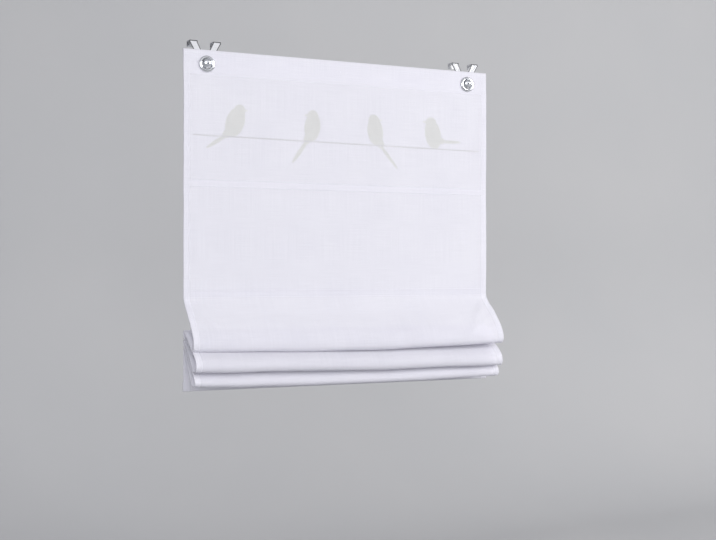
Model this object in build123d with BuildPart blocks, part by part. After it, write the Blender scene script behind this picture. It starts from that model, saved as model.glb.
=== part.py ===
from build123d import *
import os
from math import asin, cos, pi, radians, sin, tan

# Roman blind of sheer voile that hangs on a window sash. Millimetres, +Z up, +X to the right and
# -Y to the front. The origin is midway between the two hangers, where the sash's front face
# (y = 0) meets its top edge (z = 0). The blind is partly raised.

# ---------------------------------------------------------------- driving dimensions: cloth
cloth_width = 800.0
cloth_thickness = 0.6
top_edge_drop = 21.0  # from the sash's top edge down to the cloth's top edge
top_hem = 56.0
first_pocket_drop = 302.0  # from the cloth's top edge to the first stave
pocket_pitch = 250.0
raised_steps = (90.0, 20.0, 20.0)  # how far apart the raised staves hang
skirt_length = 90.0  # plain cloth below the last stave
cloth_gap = 0.3  # air between the cloth and every hard piece
turn_gap = 3.2  # from a raised pocket forward to the layer that comes up to it

# How each fold hangs: how far it stands forward, and how far it is below the stave it hangs from.
first_fold = ((0, 11), (9, 24), (26, 43), (52, 69), (68, 89), (77, 109), (76, 124), (65, 131))
second_fold = ((9, 11), (26, 22), (47, 37), (67, 50), (80, 63), (84, 77), (78, 88), (63, 89))
third_fold = ((9, 13), (25, 33), (43, 54), (58, 71), (68, 81), (71, 90), (66, 98), (52, 100))

# ---------------------------------------------------------------- driving dimensions: staves
stave_height = 12.0
stave_thickness = 2.0
stave_length = 780.0
header_height = 8.0
bar_height = 20.0
bar_thickness = 3.0
bar_length = 776.0

# ---------------------------------------------------------------- driving dimensions: lift lines
line_inset = 25.0  # from the cloth's side edge to the outer lift lines
cord_diameter = 1.8
strand_spacing = 12.6
ring_outer = 8.0
ring_wire = 1.4
ring_sash_gap = 0.4
guide_drop = 27.0  # from the cloth's top edge to the guide's axis
guide_core_gap = 0.2
guide_flange_radius = 8.0
guide_groove = 4.2
guide_base = (22.0, 14.0, 1.2)
guide_flange = 1.2
stitch_hole = 1.2
stitch_inset = 2.5  # from the base's end to its stitch holes
stitch_spacing = 5.8
knot_diameter = 6.4
knot_below_ring = 2.5
tail_below_stave = 14.0  # from the last stave down to the knot at the tail's end
tail_knot_diameter = 3.8

# ---------------------------------------------------------------- driving dimensions: cord locks
lock_below_guide = 24.0
lock_height = 12.0
lock_depth = 7.6
lock_left = 17.0  # from the line's middle to the closed end
lock_right = 11.0  # from the line's middle to the open end
lock_end_wall = 1.4
lock_bore = (4.8, 7.2)  # depth and height
plunger_gap = 0.2
cord_channel = 2.4
button_travel = 3.0
button_head = (3.0, 6.6, 9.5)
stop_gap = 0.3
clamp_gap = 0.1
plunger_end = 9.6  # from the line's middle to the plunger's inner end
spring_outer = 4.1
spring_wire = 0.5
spring_turns = 4.5

# ---------------------------------------------------------------- driving dimensions: cord bells
bell_length = 20.0
bell_top_radius = 2.2
bell_bottom_radius = 4.0
bell_bore = 2.2
bell_recess = (5.0, 8.0)  # diameter and depth, open below

# ---------------------------------------------------------------- driving dimensions: eyelets
eyelet_guide_gap = 3.0  # from the outer guide's base to the eyelet's washer
eyelet_hem_drop = 32.0  # from the cloth's top edge to the eyelet's middle
eyelet_outer = 38.0
eyelet_hole = 22.0
barrel_wall = 1.0
eyelet_dome = 3.2
eyelet_rim = 1.0
washer_outer = 34.0
washer_thickness = 1.2
curl_overhang = 1.5
curl_thickness = 0.8
metal_fit = 0.05

# ---------------------------------------------------------------- driving dimensions: hangers
sheet = 1.5
sash_thickness = 18.0
hanger_width = 75.0
arm_width = 19.0
rear_lip = 12.0
straight_leg = 3.0
bend_radius = 1.5
hub_radius = 11.0
crotch_above_knob = 10.8
crotch_radius = 3.0
edge_break = 0.3
neck_diameter = 17.0
knob_diameter = 20.0
knob_flare = 0.6
knob_rim = 0.8
knob_dome = 4.8
knob_ring_gap = 0.6
rivet_radii = (3.0, 4.5)

# ---------------------------------------------------------------- places worked out from the above
half_cloth = cloth_thickness / 2
pocket_depth = stave_thickness + 2 * cloth_gap
pocket_height = stave_height + 2 * cloth_gap
pocket_back = half_cloth + pocket_depth + cloth_thickness
strand_y = -ring_sash_gap - ring_outer / 2
panel_y = strand_y - ring_outer / 2 - cloth_gap - pocket_back
hem_front = panel_y - half_cloth
hem_back = panel_y + half_cloth + cloth_thickness
second_pocket_drop = first_pocket_drop + pocket_pitch
raised_drops = [second_pocket_drop + sum(raised_steps[: count + 1]) for count in range(3)]
pocket_drops = [first_pocket_drop, second_pocket_drop, *raised_drops]
pocket_zs = [-top_edge_drop - drop for drop in pocket_drops]
skirt_drop = pocket_drops[-1] + skirt_length
loop_radius = strand_spacing / 2
side_line_x = cloth_width / 2 - line_inset
line_xs = {"left": -side_line_x, "centre": 0.0, "right": side_line_x}
eyelet_x = side_line_x - guide_base[0] / 2 - eyelet_guide_gap - washer_outer / 2
eyelet_z = -top_edge_drop - eyelet_hem_drop
knob_z = eyelet_z + eyelet_hole / 2 - neck_diameter / 2 - cloth_gap
barrel_radius = eyelet_hole / 2 + barrel_wall


def at(forward, down):
    """A point of the cloth's section, from its distance in front of the panel and below its top."""
    return (panel_y - forward, -top_edge_drop - down)


def fold(stave, points):
    """A fold's points in the cloth's section, from the drop of the stave that it hangs from."""
    return [(forward, pocket_drops[stave - 1] + down) for forward, down in points]


def corner_radii(points):
    """The largest arc that each corner of an open path has room for."""
    radii = []
    for before, corner, after in zip(points, points[1:], points[2:]):
        run_in = Vector(*corner) - Vector(*before)
        run_out = Vector(*after) - Vector(*corner)
        half_turn = radians(run_in.get_angle(run_out)) / 2
        radii.append(0.45 * min(run_in.length, run_out.length) / tan(half_turn))
    return radii


def path_length(path):
    """The length of a whole line of runs and arcs."""
    return sum(edge.length for edge in path.line.edges())


def pocket(depth, top, bottom):
    """The section of a sewn pocket's back layer, from its top seam round to its bottom seam."""
    corners = (at(0, top), at(-depth, top), at(-depth, bottom), at(0, bottom))
    with BuildLine() as line:
        FilletPolyline(*corners, radius=cloth_thickness)
    return line.line


# ---------------------------------------------------------------- cloth, one piece with its hems
os.makedirs("parts", exist_ok=True)

turns_up = [drop - pocket_height / 2 - cloth_thickness for drop in pocket_drops]
turns_down = [drop + pocket_height / 2 + cloth_thickness for drop in pocket_drops]
section_path = [
    (0, 0),
    *fold(2, first_fold),
    (turn_gap, turns_up[2]),
    (0, turns_up[2]),
    (0, turns_down[2]),
    *fold(3, second_fold),
    (turn_gap, turns_up[3]),
    (0, turns_up[3]),
    (0, turns_down[3]),
    *fold(4, third_fold),
    (turn_gap, turns_up[4]),
    (0, turns_up[4]),
    (0, skirt_drop),
]
section_points = [at(*point) for point in section_path]
panel_run = pocket_depth + cloth_thickness
half_pocket = (pocket_height + cloth_thickness) / 2
header_bottom = half_cloth + header_height + 2 * cloth_gap + cloth_thickness
bar_pocket_depth = bar_thickness + 2 * cloth_gap + cloth_thickness
bar_pocket_height = bar_height + 2 * cloth_gap + cloth_thickness
bar_bottom = skirt_drop - half_cloth

with BuildPart() as cloth:
    with BuildSketch(Plane.YZ.offset(-cloth_width / 2)):
        with BuildLine() as panel_line:
            FilletPolyline(*section_points, radius=corner_radii(section_points))
        trace(line_width=cloth_thickness)
        for drop in pocket_drops:
            trace(pocket(panel_run, drop - half_pocket, drop + half_pocket), cloth_thickness)
        trace(pocket(panel_run, half_cloth, header_bottom), cloth_thickness)
        trace(pocket(bar_pocket_depth, bar_bottom - bar_pocket_height, bar_bottom), cloth_thickness)
        with BuildLine():
            Line(at(-cloth_thickness, header_bottom), at(-cloth_thickness, top_hem))
        trace(line_width=cloth_thickness)
    extrude(amount=cloth_width)
    with BuildSketch(Plane.XZ.offset(-hem_back)):
        with Locations((-eyelet_x, eyelet_z), (eyelet_x, eyelet_z)):
            Circle(barrel_radius + cloth_gap)
    extrude(amount=hem_back - hem_front, mode=Mode.SUBTRACT)

cloth.part.label = "cloth"
export_step(cloth.part, "parts/cloth.step")
panel_length = path_length(panel_line)
cut_length = panel_length + top_hem + bar_pocket_height
print(f"cloth: {panel_length:.0f} mm long as made up, cut {cut_length:.0f} mm with its hems")


# ---------------------------------------------------------------- staves and bottom bar
stave_y = panel_y + half_cloth + pocket_depth / 2
bar_y = panel_y + half_cloth + cloth_gap + bar_thickness / 2
header_z = at(0, (half_cloth + header_bottom) / 2)[1]
bar_z = at(0, bar_bottom - bar_pocket_height / 2)[1]

flats = {
    "header_stave": ((stave_length, stave_thickness, header_height), (stave_y, header_z)),
    "bottom_bar": ((bar_length, bar_thickness, bar_height), (bar_y, bar_z)),
}
for number, pocket_z in enumerate(pocket_zs, start=1):
    size = (stave_length, stave_thickness, stave_height)
    flats[f"stave_{number}"] = (size, (stave_y, pocket_z))

for name, (size, (y, z)) in flats.items():
    with BuildPart(Plane((0, y, z))) as flat:
        Box(*size)
        chamfer(flat.edges().filter_by(Axis.X), size[1] / 5)
    flat.part.label = name
    export_step(flat.part, f"parts/{name}.step")

# ---------------------------------------------------------------- eyelets
washer_front = hem_back + cloth_gap
washer_back = washer_front + washer_thickness
curl_front = washer_back + metal_fit
flange_back = hem_front - cloth_gap
dome_radius = (eyelet_hole + eyelet_outer) / 4  # where the dome stands highest

for side, sign in (("left", -1), ("right", 1)):
    centre = (sign * eyelet_x, 0, eyelet_z)
    with BuildPart() as eyelet_front:
        with BuildSketch(Plane(centre)):
            with BuildLine():
                Polyline(
                    (eyelet_hole / 2, flange_back - eyelet_rim),
                    (eyelet_hole / 2, curl_front + curl_thickness),
                    (barrel_radius + curl_overhang, curl_front + curl_thickness),
                    (barrel_radius + curl_overhang, curl_front),
                    (barrel_radius, curl_front),
                    (barrel_radius, flange_back),
                    (eyelet_outer / 2, flange_back),
                    (eyelet_outer / 2, flange_back - eyelet_rim / 2),
                )
                ThreePointArc(
                    (eyelet_outer / 2, flange_back - eyelet_rim / 2),
                    (dome_radius, flange_back - eyelet_dome),
                    (eyelet_hole / 2, flange_back - eyelet_rim),
                )
            make_face()
        revolve(axis=Axis(centre, (0, 1, 0)))
    eyelet_front.part.label = f"{side}_eyelet_front"
    export_step(eyelet_front.part, f"parts/{side}_eyelet_front.step")

    with BuildPart() as eyelet_back:
        with BuildSketch(Plane.XZ.offset(-washer_front)):
            with Locations((centre[0], centre[2])):
                Circle(washer_outer / 2)
                Circle(barrel_radius + metal_fit, mode=Mode.SUBTRACT)
        extrude(amount=-washer_thickness)
        rims = eyelet_back.edges().filter_by(GeomType.CIRCLE).group_by(Axis.Y)[-1]
        fillet(rims.sort_by(SortBy.RADIUS)[-1], washer_thickness / 2)
    eyelet_back.part.label = f"{side}_eyelet_back"
    export_step(eyelet_back.part, f"parts/{side}_eyelet_back.step")

    # ------------------------------------------------------------ sash hanger, one bent sheet
    arm_x = (hanger_width - arm_width) / 2
    inner_x = hanger_width / 2 - arm_width
    with BuildPart() as hanger:
        with BuildSketch(Plane((centre[0], 0, 0), x_dir=(1, 0, 0), z_dir=(0, -1, 0))):
            with BuildLine():
                FilletPolyline(
                    (-hub_radius, knob_z),
                    (-hanger_width / 2, -straight_leg),
                    (-inner_x, -straight_leg),
                    (0, knob_z + crotch_above_knob),
                    (inner_x, -straight_leg),
                    (hanger_width / 2, -straight_leg),
                    (hub_radius, knob_z),
                    radius=(0, 0, crotch_radius, 0, 0),
                )
                Line((hub_radius, knob_z), (-hub_radius, knob_z))
            make_face()
            with Locations((0, knob_z)):
                Circle(hub_radius)
        extrude(amount=sheet)
        chamfer(hanger.faces().sort_by(Axis.Y)[0].edges(), edge_break)
        for arm in (-arm_x, arm_x):
            with BuildSketch(Plane.YZ.offset(centre[0] + arm - arm_width / 2)):
                with BuildLine():
                    FilletPolyline(
                        (-sheet / 2, -straight_leg - sheet),
                        (-sheet / 2, sheet / 2),
                        (sash_thickness + sheet / 2, sheet / 2),
                        (sash_thickness + sheet / 2, -rear_lip),
                        radius=bend_radius,
                    )
                trace(line_width=sheet)
            extrude(amount=arm_width)
        with BuildSketch(Plane((centre[0], 0, knob_z))):
            with BuildLine():
                Polyline(
                    (0, 0),
                    (rivet_radii[1] + metal_fit, 0),
                    (rivet_radii[0] + metal_fit, -sheet),
                    (0, -sheet),
                    close=True,
                )
            make_face()
        revolve(axis=Axis((centre[0], 0, knob_z), (0, 1, 0)), mode=Mode.SUBTRACT)
    hanger.part.label = f"{side}_hanger"
    export_step(hanger.part, f"parts/{side}_hanger.step")

    # ------------------------------------------------------------ turned knob riveted to the hanger
    head_back = flange_back - eyelet_dome - knob_ring_gap
    head_front = head_back - knob_flare - knob_rim
    cap_radius = ((knob_diameter / 2) ** 2 + knob_dome**2) / (2 * knob_dome)
    cap_angle = asin(knob_diameter / 2 / cap_radius)
    cap_y = head_front - knob_dome + cap_radius
    with BuildPart() as knob:
        with BuildSketch(Plane((centre[0], 0, knob_z))):
            with BuildLine():
                Polyline(
                    (0, 0),
                    (rivet_radii[1], 0),
                    (rivet_radii[0], -sheet),
                    (neck_diameter / 2, -sheet),
                    (neck_diameter / 2, head_back),
                    (knob_diameter / 2, head_back - knob_flare),
                    (knob_diameter / 2, head_front),
                )
                ThreePointArc(
                    (knob_diameter / 2, head_front),
                    (cap_radius * sin(cap_angle / 2), cap_y - cap_radius * cos(cap_angle / 2)),
                    (0, head_front - knob_dome),
                )
                Line((0, head_front - knob_dome), (0, 0))
            make_face()
        revolve(axis=Axis((centre[0], 0, knob_z), (0, 1, 0)))
    knob.part.label = f"{side}_hanger_knob"
    export_step(knob.part, f"parts/{side}_hanger_knob.step")

# ---------------------------------------------------------------- lift lines
base_back = hem_back + cloth_gap + guide_base[2]
core_radius = loop_radius - cord_diameter / 2 - guide_core_gap
groove_front = strand_y - guide_groove / 2
groove_back = strand_y + guide_groove / 2
guide_z = -top_edge_drop - guide_drop
lock_z = guide_z - lock_below_guide
knot_z = pocket_zs[-1] - knot_below_ring
tail_z = pocket_zs[-1] - tail_below_stave

for side, line_x in line_xs.items():
    lift_x = line_x - loop_radius
    tail_x = line_x + loop_radius

    for number, pocket_z in enumerate(pocket_zs, start=1):
        with BuildPart(Plane((lift_x, strand_y, pocket_z))) as ring:
            Torus((ring_outer - ring_wire) / 2, ring_wire / 2)
        ring.part.label = f"{side}_ring_{number}"
        export_step(ring.part, f"parts/{side}_ring_{number}.step")

    # ------------------------------------------------------------ guide sewn behind the top hem
    with BuildPart() as guide:
        with BuildSketch(Plane((line_x, hem_back + cloth_gap, guide_z), (1, 0, 0), (0, 1, 0))):
            RectangleRounded(guide_base[0], guide_base[1], guide_base[1] / 3)
            with GridLocations(guide_base[0] - 2 * stitch_inset, stitch_spacing, 2, 2):
                Circle(stitch_hole / 2, mode=Mode.SUBTRACT)
        extrude(amount=guide_base[2])
        with BuildSketch(Plane((line_x, base_back, guide_z), (1, 0, 0), (0, 1, 0))):
            Circle(guide_flange_radius)
        extrude(amount=groove_front - base_back)
        with BuildSketch(Plane((line_x, groove_front, guide_z), (1, 0, 0), (0, 1, 0))):
            Circle(core_radius)
        extrude(amount=guide_groove)
        with BuildSketch(Plane((line_x, groove_back, guide_z), (1, 0, 0), (0, 1, 0))):
            Circle(guide_flange_radius)
        extrude(amount=guide_flange)
    guide.part.label = f"{side}_cord_guide"
    export_step(guide.part, f"parts/{side}_cord_guide.step")

    # ------------------------------------------------------------ lift cord, knotted at both ends
    loop_top = guide_z + loop_radius
    route = (
        (lift_x, strand_y, knot_z),
        (lift_x, strand_y, loop_top),
        (tail_x, strand_y, loop_top),
        (tail_x, strand_y, tail_z),
    )
    with BuildPart() as cord:
        with BuildLine() as cord_line:
            FilletPolyline(*route, radius=loop_radius - metal_fit / 10)
        with BuildSketch(Plane(route[0])):
            Circle(cord_diameter / 2)
        sweep()
        with Locations(route[0]):
            Sphere(knot_diameter / 2)
        with Locations(route[-1]):
            Sphere(tail_knot_diameter / 2)
    cord.part.label = f"{side}_lift_cord"
    export_step(cord.part, f"parts/{side}_lift_cord.step")

    # ------------------------------------------------------------ bell that hides the tail's knot
    bell_bottom = tail_z - bell_recess[1] / 2
    bell_top = bell_bottom + bell_length
    with BuildPart() as bell:
        with BuildSketch(Plane((tail_x, strand_y, bell_bottom))):
            Circle(bell_bottom_radius)
        with BuildSketch(Plane((tail_x, strand_y, bell_top))):
            Circle(bell_top_radius)
        loft()
        with BuildSketch(Plane((tail_x, strand_y, bell_bottom))):
            Circle(bell_bore / 2)
        extrude(amount=bell_length, mode=Mode.SUBTRACT)
        with BuildSketch(Plane((tail_x, strand_y, bell_bottom))):
            Circle(bell_recess[0] / 2)
        extrude(amount=bell_recess[1], mode=Mode.SUBTRACT)
    bell.part.label = f"{side}_cord_bell"
    export_step(bell.part, f"parts/{side}_cord_bell.step")

    # ------------------------------------------------------------ two-hole cord lock
    body_left = line_x - lock_left
    body_right = line_x + lock_right
    body_middle = ((body_left + body_right) / 2, strand_y, lock_z)
    bore_left = body_left + lock_end_wall
    with BuildPart() as lock_body:
        with BuildSketch(Plane(body_middle, (1, 0, 0), (0, 0, 1))):
            RectangleRounded(lock_left + lock_right, lock_depth, lock_depth / 3)
        extrude(amount=lock_height / 2, both=True)
        with BuildSketch(Plane((bore_left, strand_y, lock_z), (0, 1, 0), (1, 0, 0))):
            Rectangle(*lock_bore)
        extrude(amount=body_right - bore_left, mode=Mode.SUBTRACT)
        with BuildSketch(Plane((line_x, strand_y, lock_z))):
            with GridLocations(strand_spacing, 0, 2, 1):
                Circle(cord_channel / 2)
        extrude(amount=lock_height, both=True, mode=Mode.SUBTRACT)
    lock_body.part.label = f"{side}_lock_body"
    export_step(lock_body.part, f"parts/{side}_lock_body.step")

    plunger_left = line_x - plunger_end
    head_left = body_right + button_travel + stop_gap
    slot_left = -cord_diameter / 2 - clamp_gap
    slot_right = cord_diameter / 2 + button_travel + stop_gap
    with BuildPart() as button:
        with BuildSketch(Plane((plunger_left, strand_y, lock_z), (0, 1, 0), (1, 0, 0))):
            Rectangle(lock_bore[0] - 2 * plunger_gap, lock_bore[1] - 2 * plunger_gap)
        extrude(amount=head_left - plunger_left)
        with BuildSketch(Plane((head_left, strand_y, lock_z), (0, 1, 0), (1, 0, 0))):
            RectangleRounded(button_head[1], button_head[2], button_head[1] / 3)
        extrude(amount=button_head[0])
        fillet(button.faces().sort_by(Axis.X)[-1].edges(), button_head[0] / 4)
        with BuildSketch(Plane((line_x + (slot_left + slot_right) / 2, strand_y, lock_z))):
            with GridLocations(strand_spacing, 0, 2, 1):
                Rectangle(slot_right - slot_left, cord_channel)
        extrude(amount=lock_height, both=True, mode=Mode.SUBTRACT)
    button.part.label = f"{side}_lock_button"
    export_step(button.part, f"parts/{side}_lock_button.step")

    spring_room = plunger_left - bore_left
    spring_radius = (spring_outer - spring_wire) / 2
    coil_length = spring_room - spring_wire - 2 * metal_fit
    coil_start = (bore_left + metal_fit + spring_wire / 2, strand_y, lock_z)
    with BuildPart() as spring:
        with BuildLine() as coil:
            Helix(coil_length / spring_turns, coil_length, spring_radius, coil_start, (1, 0, 0))
        with BuildSketch(coil.line ^ 0):
            Circle(spring_wire / 2)
        sweep(is_frenet=True)
    spring.part.label = f"{side}_lock_spring"
    export_step(spring.part, f"parts/{side}_lock_spring.step")

cord_section = pi * (cord_diameter / 2) ** 2
cord_length = path_length(cord_line)
knots = pi / 6 * (knot_diameter**3 + tail_knot_diameter**3)
print(f"cord: {cord_length:.0f} mm, bend radius {loop_radius:.1f} mm")
print(f"cord volume {cord.part.volume:.0f} mm3, section times length {cord_section * cord_length:.0f}")
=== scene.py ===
"""Finish of a sheer Roman blind that hangs, partly raised, on a window sash.

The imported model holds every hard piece. This script adds the soft and the sewn ones: the voile
with its hems and folds, the stave pockets, the stitching and the three lift cords. Then it
finishes every surface and lights the blind on a plain stage. Metres, +Z up, -Y in front. The
cloth's own section is worked out in millimetres, as the distance in front of the panel and the
drop below the cloth's top edge.
"""

from bisect import bisect_right
from math import cos, exp, hypot, pi, radians, sin

import bmesh
import bpy
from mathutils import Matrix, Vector, noise


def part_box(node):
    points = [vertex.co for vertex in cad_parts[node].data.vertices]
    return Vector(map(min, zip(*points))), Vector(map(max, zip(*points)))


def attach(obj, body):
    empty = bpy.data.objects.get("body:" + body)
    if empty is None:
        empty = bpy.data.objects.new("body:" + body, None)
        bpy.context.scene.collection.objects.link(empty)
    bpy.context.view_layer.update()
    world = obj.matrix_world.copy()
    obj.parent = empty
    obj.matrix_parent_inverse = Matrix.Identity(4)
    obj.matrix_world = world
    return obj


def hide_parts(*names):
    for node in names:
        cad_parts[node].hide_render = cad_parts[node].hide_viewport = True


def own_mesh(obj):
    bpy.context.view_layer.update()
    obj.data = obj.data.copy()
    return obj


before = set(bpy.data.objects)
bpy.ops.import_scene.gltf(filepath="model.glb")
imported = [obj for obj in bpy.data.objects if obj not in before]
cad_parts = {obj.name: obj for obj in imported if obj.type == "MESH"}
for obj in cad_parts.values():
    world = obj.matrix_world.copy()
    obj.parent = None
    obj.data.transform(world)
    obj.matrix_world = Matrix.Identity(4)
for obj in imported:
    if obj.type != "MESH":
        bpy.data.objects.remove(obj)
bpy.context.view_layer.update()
scene = bpy.context.scene
MM = 0.001
SIDES = ("left", "centre", "right")
ENDS = ("left", "right")


# ------------------------------------------------------------------------------ small helpers
def middle(node):
    """The middle of a hard piece's box."""
    low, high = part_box(node)
    return (low + high) / 2


def smooth(value):
    """Goes from 0 to 1 with no corner as value does."""
    value = min(1.0, max(0.0, value))
    return value * value * (3 - 2 * value)


def blend(low, high, share):
    """The value that lies a share of the way from low to high."""
    return low + (high - low) * share


def shade(*levels):
    """A colour from its three screen levels, 0 to 255."""
    parts = [level / 255 for level in levels]
    line = [part / 12.92 if part <= 0.04045 else ((part + 0.055) / 1.055) ** 2.4 for part in parts]
    return (*line, 1.0)


def new_object(name, data):
    """An object in the scene, at the origin, that holds the data."""
    made = bpy.data.objects.new(name, data)
    scene.collection.objects.link(made)
    return made


def mesh_piece(name, points, faces, edges=()):
    mesh = bpy.data.meshes.new(name)
    mesh.from_pydata(points, edges, faces)
    mesh.update()
    return new_object(name, mesh)


def rounded_off(piece):
    """Shades a piece's faces as one smooth surface."""
    faces = piece.data.polygons
    faces.foreach_set("use_smooth", [True] * len(faces))


def keep(piece, material):
    """Gives a finished piece its material and its place on the blind."""
    piece.data.materials.clear()
    piece.data.materials.append(material)
    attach(piece, "blind")
    return piece


# ------------------------------------------------------------------------------ camera
camera_data = bpy.data.cameras.new("camera")
camera_data.lens = 62.35
camera_data.sensor_width = 36.0
camera_data.shift_y = 0.003
camera = new_object("camera", camera_data)
camera.location = (-1.2892, -2.6765, -0.5241)
camera.rotation_euler = (radians(90), 0, radians(-26.48))
scene.camera = camera


# ------------------------------------------------------------------------------ node helpers
def add(tree, kind, settings=None, inputs=None):
    """A node with its settings made and its inputs set or linked."""
    node = tree.nodes.new(kind)
    for name, value in (settings or {}).items():
        setattr(node, name, value)
    for key, value in (inputs or {}).items():
        if isinstance(value, bpy.types.NodeSocket):
            tree.links.new(value, node.inputs[key])
        else:
            node.inputs[key].default_value = value
    return node


def maths(tree, operation, *values):
    """One sum on numbers or sockets."""
    settings = {"operation": operation}
    return add(tree, "ShaderNodeMath", settings, dict(enumerate(values))).outputs[0]


def stretch(tree, vector, scale):
    """The vector with each of its parts scaled."""
    node = add(tree, "ShaderNodeMapping", None, {"Vector": vector, "Scale": scale})
    return node.outputs["Vector"]


def cloud(tree, vector, scale, detail=2.0, rough=0.5):
    """Soft noise, about 0.5 on average."""
    inputs = {"Vector": vector, "Scale": scale, "Detail": detail, "Roughness": rough}
    return add(tree, "ShaderNodeTexNoise", None, inputs).outputs["Fac"]


def remap(tree, value, low, high, to_low, to_high):
    """The value, moved from one range to another and held inside it."""
    inputs = {"Value": value, "From Min": low, "From Max": high}
    inputs.update({"To Min": to_low, "To Max": to_high})
    return add(tree, "ShaderNodeMapRange", None, inputs).outputs["Result"]


def mixed(tree, share, first, second):
    """A colour between two colours."""
    settings = {"data_type": "RGBA"}
    return add(tree, "ShaderNodeMix", settings, {0: share, 6: first, 7: second}).outputs[2]


def bump(tree, height, strength, distance):
    """A normal that follows a height."""
    inputs = {"Height": height, "Strength": strength, "Distance": distance}
    return add(tree, "ShaderNodeBump", None, inputs).outputs["Normal"]


def effect(name, inputs, outputs):
    """An empty node group with its named inputs and outputs."""
    group = bpy.data.node_groups.new(name, "ShaderNodeTree")
    for label, kind, value in inputs:
        socket = group.interface.new_socket(label, in_out="INPUT", socket_type=kind)
        if value is not None:
            socket.default_value = value
    for label in outputs:
        group.interface.new_socket(label, in_out="OUTPUT", socket_type="NodeSocketFloat")
    return group, group.nodes.new("NodeGroupInput").outputs, group.nodes.new("NodeGroupOutput")


def put_out(group, exit_node, **results):
    """Links each result to the group's output of the same name."""
    for label, socket in results.items():
        group.links.new(socket, exit_node.inputs[label.replace("_", " ")])


def use(tree, group, **inputs):
    """Places an effect in a material and gives its outputs."""
    named = {label.replace("_", " "): value for label, value in inputs.items()}
    node = add(tree, "ShaderNodeGroup", {"node_tree": group}, named)
    return node.outputs


# ------------------------------------------------------------------------------ shared effects
VECTOR, NUMBER = "NodeSocketVector", "NodeSocketFloat"


def make_voile_weave():
    """Plain open weave: two sets of threads, thicker threads here and there, slow unevenness."""
    group, given, exit_node = effect(
        "voile_weave",
        (("Vector", VECTOR, None), ("Pitch", NUMBER, 0.0006), ("Slubs", NUMBER, 0.5)),
        ("Cover", "Tone", "Height"),
    )
    parts = add(group, "ShaderNodeSeparateXYZ", None, {0: given["Vector"]}).outputs
    rate = maths(group, "DIVIDE", pi, given["Pitch"])
    threads = [
        maths(group, "ABSOLUTE", maths(group, "SINE", maths(group, "MULTIPLY", parts[axis], rate)))
        for axis in ("X", "Y")
    ]
    cloth = maths(group, "MAXIMUM", *threads)
    across = cloud(group, stretch(group, given["Vector"], (14.0, 700.0, 1.0)), 1.0, 1.0)
    along = cloud(group, stretch(group, given["Vector"], (900.0, 9.0, 1.0)), 1.0, 1.0)
    streaks = maths(group, "ADD", across, along)
    streaks = maths(group, "MULTIPLY", maths(group, "SUBTRACT", streaks, 1.0), given["Slubs"])
    slow = cloud(group, given["Vector"], 9.0, 3.0)
    cover = maths(group, "ADD", remap(group, cloth, 0.0, 1.0, 0.25, 0.75), streaks)
    tone = maths(group, "ADD", remap(group, slow, 0.3, 0.7, 0.42, 0.58), streaks)
    put_out(group, exit_node, Cover=cover, Tone=tone, Height=maths(group, "ADD", cloth, streaks))
    return group


def make_moulded_skin():
    """Moulded plastic: a fine sparked grain, slow flow marks and a few handling scuffs."""
    group, given, exit_node = effect(
        "moulded_skin",
        (("Vector", VECTOR, None), ("Grain", NUMBER, 2600.0), ("Scuffs", NUMBER, 0.3)),
        ("Tone", "Roughness", "Height"),
    )
    grain = cloud(group, given["Vector"], given["Grain"], 3.0, 0.6)
    flow = cloud(group, stretch(group, given["Vector"], (90.0, 90.0, 35.0)), 1.0, 2.0)
    marks = cloud(group, stretch(group, given["Vector"], (300.0, 300.0, 1500.0)), 1.0, 1.0)
    scuffs = maths(group, "MULTIPLY", remap(group, marks, 0.6, 0.72, 0.0, 1.0), given["Scuffs"])
    rough = maths(group, "ADD", remap(group, grain, 0.2, 0.8, 0.34, 0.5), scuffs)
    tone = maths(group, "SUBTRACT", remap(group, flow, 0.25, 0.75, 0.3, 0.8), scuffs)
    put_out(group, exit_node, Tone=tone, Roughness=rough, Height=grain)
    return group


def make_plated_skin():
    """Bright plate: hair-fine polishing lines, soft smears and tiny pits."""
    group, given, exit_node = effect(
        "plated_skin",
        (("Vector", VECTOR, None), ("Polish", NUMBER, 0.07), ("Smears", NUMBER, 0.1)),
        ("Tone", "Roughness", "Height"),
    )
    lines = cloud(group, stretch(group, given["Vector"], (4200.0, 4200.0, 260.0)), 1.0, 2.0)
    smears = cloud(group, given["Vector"], 130.0, 3.0, 0.6)
    pits = cloud(group, given["Vector"], 1900.0, 2.0)
    worn = maths(group, "MULTIPLY", remap(group, smears, 0.5, 0.75, 0.0, 1.0), given["Smears"])
    fine = remap(group, lines, 0.3, 0.7, -0.02, 0.03)
    rough = maths(group, "ADD", maths(group, "ADD", given["Polish"], worn), fine)
    tone = maths(group, "SUBTRACT", 1.0, remap(group, pits, 0.64, 0.74, 0.0, 0.35))
    put_out(group, exit_node, Tone=tone, Roughness=rough, Height=lines)
    return group


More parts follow.
